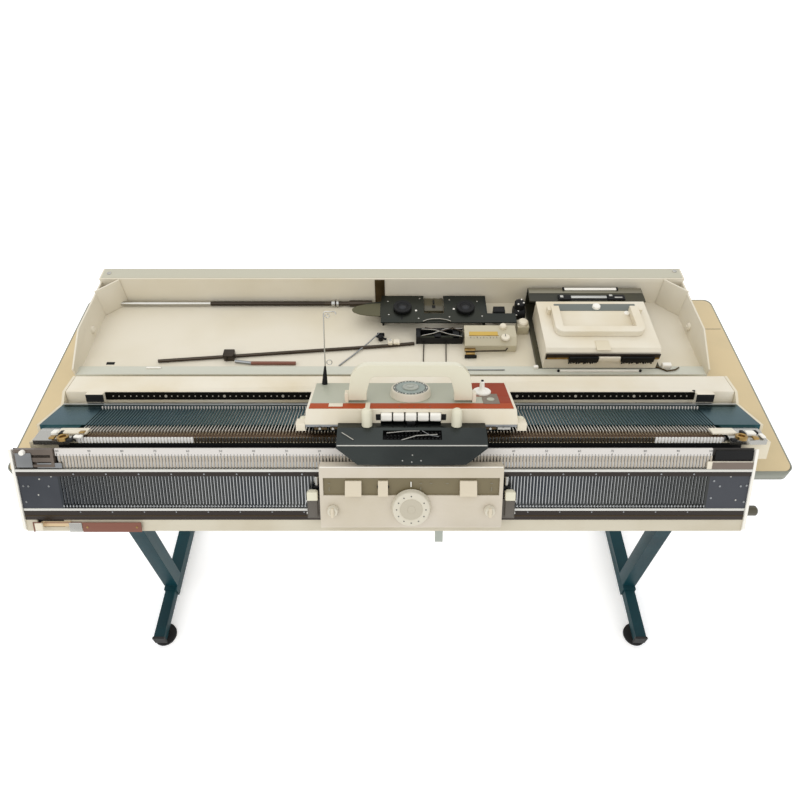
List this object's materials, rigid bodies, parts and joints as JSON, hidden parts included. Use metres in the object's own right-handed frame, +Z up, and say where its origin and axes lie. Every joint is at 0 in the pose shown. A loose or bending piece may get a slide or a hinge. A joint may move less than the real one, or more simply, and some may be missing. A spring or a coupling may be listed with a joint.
{
  "type": "hand knitting machine",
  "caption": "Double-bed hand knitting machine on a steel-legged table, with a ribber, a carriage over both beds and its lid behind it as an accessory tray.",
  "frame": {"origin": "on the floor under the middle of the whole machine", "axes": "+X along the needle beds to the knitter's right, +Y from the knitter to the back, +Z up"},
  "size_m": [1.2, 0.5114, 0.871],
  "materials": {
    "tabletop": "satin laminate",
    "edge_band": "satin",
    "leg_steel": "gloss enamel",
    "black_rubber": "matt",
    "clamp_steel": "zinc plated",
    "cream_plastic": "fine satin",
    "case_metal": "satin",
    "bed_steel": "polished, cold reflection",
    "needle_steel": "polished",
    "bare_steel": "satin",
    "belt_black": "matt",
    "ribber_casting": "painted back",
    "slate_steel": "dark polished",
    "number_plastic": "satin",
    "rail_metal": "satin",
    "white_plastic": "gloss",
    "grey_green_plastic": "satin",
    "dial_plastic": "satin",
    "plated_steel": "nickel plated",
    "arm_steel": "dark polished",
    "black_plastic": "matt",
    "beige_plastic": "satin",
    "olive_plastic": "gloss",
    "rod_steel": "plated, dulled"
  },
  "bodies": {
    "machine": {"table_top": "tabletop", "table_edge_band": "edge_band", "leg_frames": "leg_steel", "foot_bars": "leg_steel", "levelling_pads": "black_rubber", "table_clamps": "clamp_steel", "main_case": "case_metal", "main_bed": "bed_steel", "main_needles": "needle_steel", "bed_strips": "bare_steel", "rear_cover": "cream_plastic", "pattern_belt": "belt_black", "hook_brackets": "bare_steel", "lid_tray": "cream_plastic", "mast_rods": "rod_steel", "spare_arm": "slate_steel", "tension_unit": "beige_plastic", "spare_carriage": "cream_plastic", "spare_plate": "bare_steel"},
    "ribber": {"ribber_base": "ribber_casting", "ribber_bed": "slate_steel", "ribber_needles": "needle_steel", "number_strip": "number_plastic", "ribber_rails": "rail_metal", "ribber_end_plates": "slate_steel", "ribber_cheeks": "white_plastic", "ribber_skirt": "cream_plastic", "ribber_corner_blocks": "bare_steel"},
    "carriage": {"carriage_plate": "bare_steel", "carriage_cover": "grey_green_plastic", "joining_arm": "arm_steel", "brush_holder": "black_plastic", "rib_carriage_plate": "bare_steel", "rib_carriage_cover": "beige_plastic", "switch_band": "olive_plastic", "side_blocks": "black_plastic"},
    "racking_crank": {"racking_crank": "plated_steel"},
    "half_pitch_lever": {"half_pitch_lever": "white_plastic"},
    "end_knob": {"end_knob": "olive_plastic"},
    "carriage_handle": {"carriage_handle": "cream_plastic"},
    "tension_dial": {"tension_dial": "dial_plastic"},
    "change_knob": {"change_knob": "plated_steel"},
    "cam_button_1": {"cam_button_1": "white_plastic"},
    "cam_button_2": {"cam_button_2": "white_plastic"},
    "cam_button_3": {"cam_button_3": "white_plastic"},
    "cam_button_4": {"cam_button_4": "white_plastic"},
    "cam_button_5": {"cam_button_5": "white_plastic"},
    "thumb_screw_left": {"thumb_screw_left": "white_plastic"},
    "thumb_screw_right": {"thumb_screw_right": "white_plastic"},
    "rib_dial": {"rib_dial": "dial_plastic"},
    "slide_switch_1": {"slide_switch_1": "white_plastic"},
    "slide_switch_2": {"slide_switch_2": "white_plastic"},
    "slide_switch_3": {"slide_switch_3": "white_plastic"},
    "rib_knob_left": {"rib_knob_left": "white_plastic"},
    "rib_knob_right": {"rib_knob_right": "white_plastic"},
    "side_lever_left": {"side_lever_left": "white_plastic"},
    "side_lever_right": {"side_lever_right": "white_plastic"},
    "brush_wheel_left": {"brush_wheel_left": "black_plastic"},
    "brush_wheel_right": {"brush_wheel_right": "black_plastic"},
    "spare_handle": {"spare_handle": "cream_plastic"}
  },
  "joints": [
    {"name": "carriage_slide", "type": "slide", "parent": "machine", "child": "carriage", "axis": [1, 0, 0], "range_m": [-0.355, 0.31]},
    {"name": "ribber_racking", "type": "slide", "parent": "machine", "child": "ribber", "axis": [1, 0, 0], "range_m": [0, 0.045]},
    {"name": "racking_crank_turn", "type": "hinge", "parent": "ribber", "child": "racking_crank", "pos_m": [-0.469, -0.23661, 0.69529], "axis": [0, -0.848, 0.5299], "range_deg": [0, 3600]},
    {"name": "half_pitch_slide", "type": "slide", "parent": "ribber", "child": "half_pitch_lever", "axis": [1, 0, 0], "range_m": [-0.008, 0.008]},
    {"name": "end_knob_turn", "type": "hinge", "parent": "ribber", "child": "end_knob", "pos_m": [0.5, -0.21705, 0.69734], "axis": [1, 0, 0], "continuous": true},
    {"name": "handle_fold", "type": "hinge", "parent": "carriage", "child": "carriage_handle", "pos_m": [0.0144, -0.10895, 0.82544], "axis": [-1, 0, 0], "range_deg": [0, 55]},
    {"name": "tension_dial_turn", "type": "hinge", "parent": "carriage", "child": "tension_dial", "pos_m": [0.0151, -0.09309, 0.80811], "axis": [0, 0.4226, 0.9063], "range_deg": [0, 300]},
    {"name": "change_knob_turn", "type": "hinge", "parent": "carriage", "child": "change_knob", "pos_m": [0.1176, -0.08738, 0.80545], "axis": [0, 0.4226, 0.9063], "range_deg": [-90, 90]},
    {"name": "cam_button_1_press", "type": "slide", "parent": "carriage", "child": "cam_button_1", "axis": [0, -0.4226, -0.9063], "range_m": [0, 0.0035], "stiffness_N_per_m": 300, "springref_m": -0.002},
    {"name": "cam_button_2_press", "type": "slide", "parent": "carriage", "child": "cam_button_2", "axis": [0, -0.4226, -0.9063], "range_m": [0, 0.0035], "stiffness_N_per_m": 300, "springref_m": -0.002},
    {"name": "cam_button_3_press", "type": "slide", "parent": "carriage", "child": "cam_button_3", "axis": [0, -0.4226, -0.9063], "range_m": [0, 0.0035], "stiffness_N_per_m": 300, "springref_m": -0.002},
    {"name": "cam_button_4_press", "type": "slide", "parent": "carriage", "child": "cam_button_4", "axis": [0, -0.4226, -0.9063], "range_m": [0, 0.0035], "stiffness_N_per_m": 300, "springref_m": -0.002},
    {"name": "cam_button_5_press", "type": "slide", "parent": "carriage", "child": "cam_button_5", "axis": [0, -0.4226, -0.9063], "range_m": [0, 0.0035], "stiffness_N_per_m": 300, "springref_m": -0.002},
    {"name": "thumb_screw_left_turn", "type": "hinge", "parent": "carriage", "child": "thumb_screw_left", "pos_m": [-0.0448, -0.15012, 0.82588], "axis": [0, 0.4226, 0.9063], "continuous": true},
    {"name": "thumb_screw_right_turn", "type": "hinge", "parent": "carriage", "child": "thumb_screw_right", "pos_m": [0.0767, -0.15012, 0.82588], "axis": [0, 0.4226, 0.9063], "continuous": true},
    {"name": "rib_dial_turn", "type": "hinge", "parent": "carriage", "child": "rib_dial", "pos_m": [0.0153, -0.23762, 0.73896], "axis": [0, -0.848, 0.5299], "range_deg": [0, 300]},
    {"name": "slide_switch_1_slide", "type": "slide", "parent": "carriage", "child": "slide_switch_1", "axis": [1, 0, 0], "range_m": [-0.005, 0.005]},
    {"name": "slide_switch_2_slide", "type": "slide", "parent": "carriage", "child": "slide_switch_2", "axis": [1, 0, 0], "range_m": [-0.005, 0.005]},
    {"name": "slide_switch_3_slide", "type": "slide", "parent": "carriage", "child": "slide_switch_3", "axis": [1, 0, 0], "range_m": [-0.005, 0.005]},
    {"name": "rib_knob_left_turn", "type": "hinge", "parent": "carriage", "child": "rib_knob_left", "pos_m": [-0.0917, -0.2398, 0.73548], "axis": [0, -0.848, 0.5299], "range_deg": [0, 180]},
    {"name": "rib_knob_right_turn", "type": "hinge", "parent": "carriage", "child": "rib_knob_right", "pos_m": [0.1223, -0.2398, 0.73548], "axis": [0, -0.848, 0.5299], "range_deg": [0, 180]},
    {"name": "side_lever_left_slide", "type": "slide", "parent": "carriage", "child": "side_lever_left", "axis": [0, 0.5299, 0.848], "range_m": [0, 0.005]},
    {"name": "side_lever_right_slide", "type": "slide", "parent": "carriage", "child": "side_lever_right", "axis": [0, 0.5299, 0.848], "range_m": [0, 0.005]},
    {"name": "brush_wheel_left_turn", "type": "hinge", "parent": "machine", "child": "brush_wheel_left", "pos_m": [0.0045, 0.176, 0.74], "axis": [0, 0, 1], "continuous": true},
    {"name": "brush_wheel_right_turn", "type": "hinge", "parent": "machine", "child": "brush_wheel_right", "pos_m": [0.1175, 0.176, 0.74], "axis": [0, 0, 1], "continuous": true},
    {"name": "spare_handle_fold", "type": "hinge", "parent": "machine", "child": "spare_handle", "pos_m": [0.335, 0.14, 0.7643], "axis": [-1, 0, 0], "range_deg": [0, 95]}
  ],
  "couplings": [
    {"joint": "racking_crank_turn", "follows": "ribber_racking", "rad_per_m": 1396.3}
  ]
}
